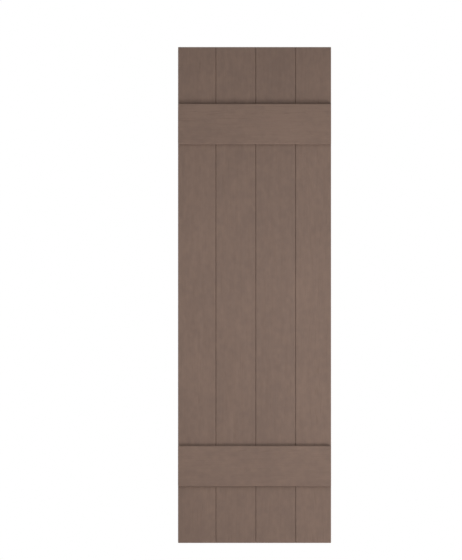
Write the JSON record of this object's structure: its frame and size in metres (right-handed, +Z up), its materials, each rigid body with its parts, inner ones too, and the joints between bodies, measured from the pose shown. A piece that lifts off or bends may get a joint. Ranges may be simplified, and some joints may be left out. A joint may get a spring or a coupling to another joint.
{
  "type": "board and batten shutter",
  "caption": "Tall flat window shutter of lapped vertical boards with a wide batten across the front near each end, moulded hollow at the back, fixed flat to a wall.",
  "frame": {"origin": "middle of the back, on the plane that bears on the wall", "axes": "+X to the right seen from the front, +Y into the wall, +Z up"},
  "size_m": [0.3682, 0.0254, 1.1938],
  "materials": {
    "boards": "matte brown, moulded through, shallow upright wood grain",
    "battens": "matte brown, moulded through, shallow level wood grain",
    "screws": "zinc-plated pan heads"
  },
  "bodies": {
    "root": {"left_board": "boards", "left_middle_board": "boards", "right_middle_board": "boards", "right_board": "boards", "upper_batten": "battens", "lower_batten": "battens"}
  },
  "joints": []
}
